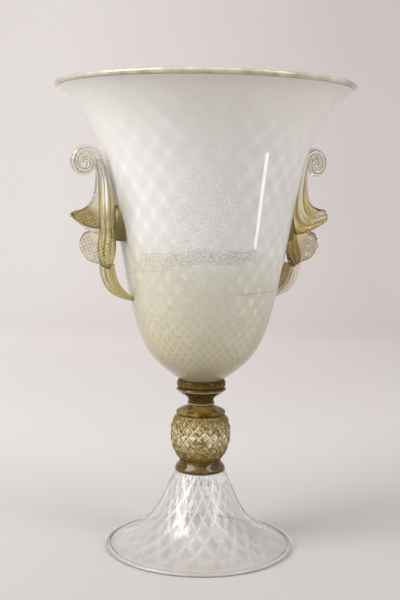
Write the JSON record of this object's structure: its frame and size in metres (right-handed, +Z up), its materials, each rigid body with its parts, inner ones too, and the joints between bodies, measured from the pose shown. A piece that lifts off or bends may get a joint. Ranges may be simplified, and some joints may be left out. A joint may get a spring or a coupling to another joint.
{
  "type": "glass floor vase",
  "caption": "Large footed glass urn vase: white diamond-optic bowl, amber pineapple knop, clear trumpet foot and ribbed scroll handles.",
  "frame": {"origin": "where the vase's axis meets the floor, the middle of the foot's underside", "axes": "+Z up along the vase's axis; the two handles lie along -X (left) and +X (right)"},
  "size_m": [0.3826, 0.3826, 0.6],
  "materials": {
    "milk_glass": "white cased in clear, glossy, fine bubbles and gold flecks",
    "mist_glass": "clear with a faint white mist, glossy",
    "amber_glass": "dark olive amber, glossy",
    "gold_glass": "gold amber, diamond bosses, glossy",
    "thread_glass": "clear with gold leaf, glossy",
    "handle_glass": "clear with gold leaf, ribbed and pincered, glossy"
  },
  "bodies": {
    "root": {"foot_rim": "mist_glass", "foot": "mist_glass", "foot_collar": "amber_glass", "knop": "gold_glass", "knop_shoulder": "amber_glass", "waist_ring": "amber_glass", "stem_neck": "amber_glass", "merese_disc": "amber_glass", "bowl_collar": "amber_glass", "bowl": "milk_glass", "lip_thread": "thread_glass", "left_scroll": "handle_glass", "left_husk": "handle_glass", "left_tail": "handle_glass", "left_bridge": "amber_glass", "right_scroll": "handle_glass", "right_husk": "handle_glass", "right_tail": "handle_glass", "right_bridge": "amber_glass"}
  },
  "joints": []
}
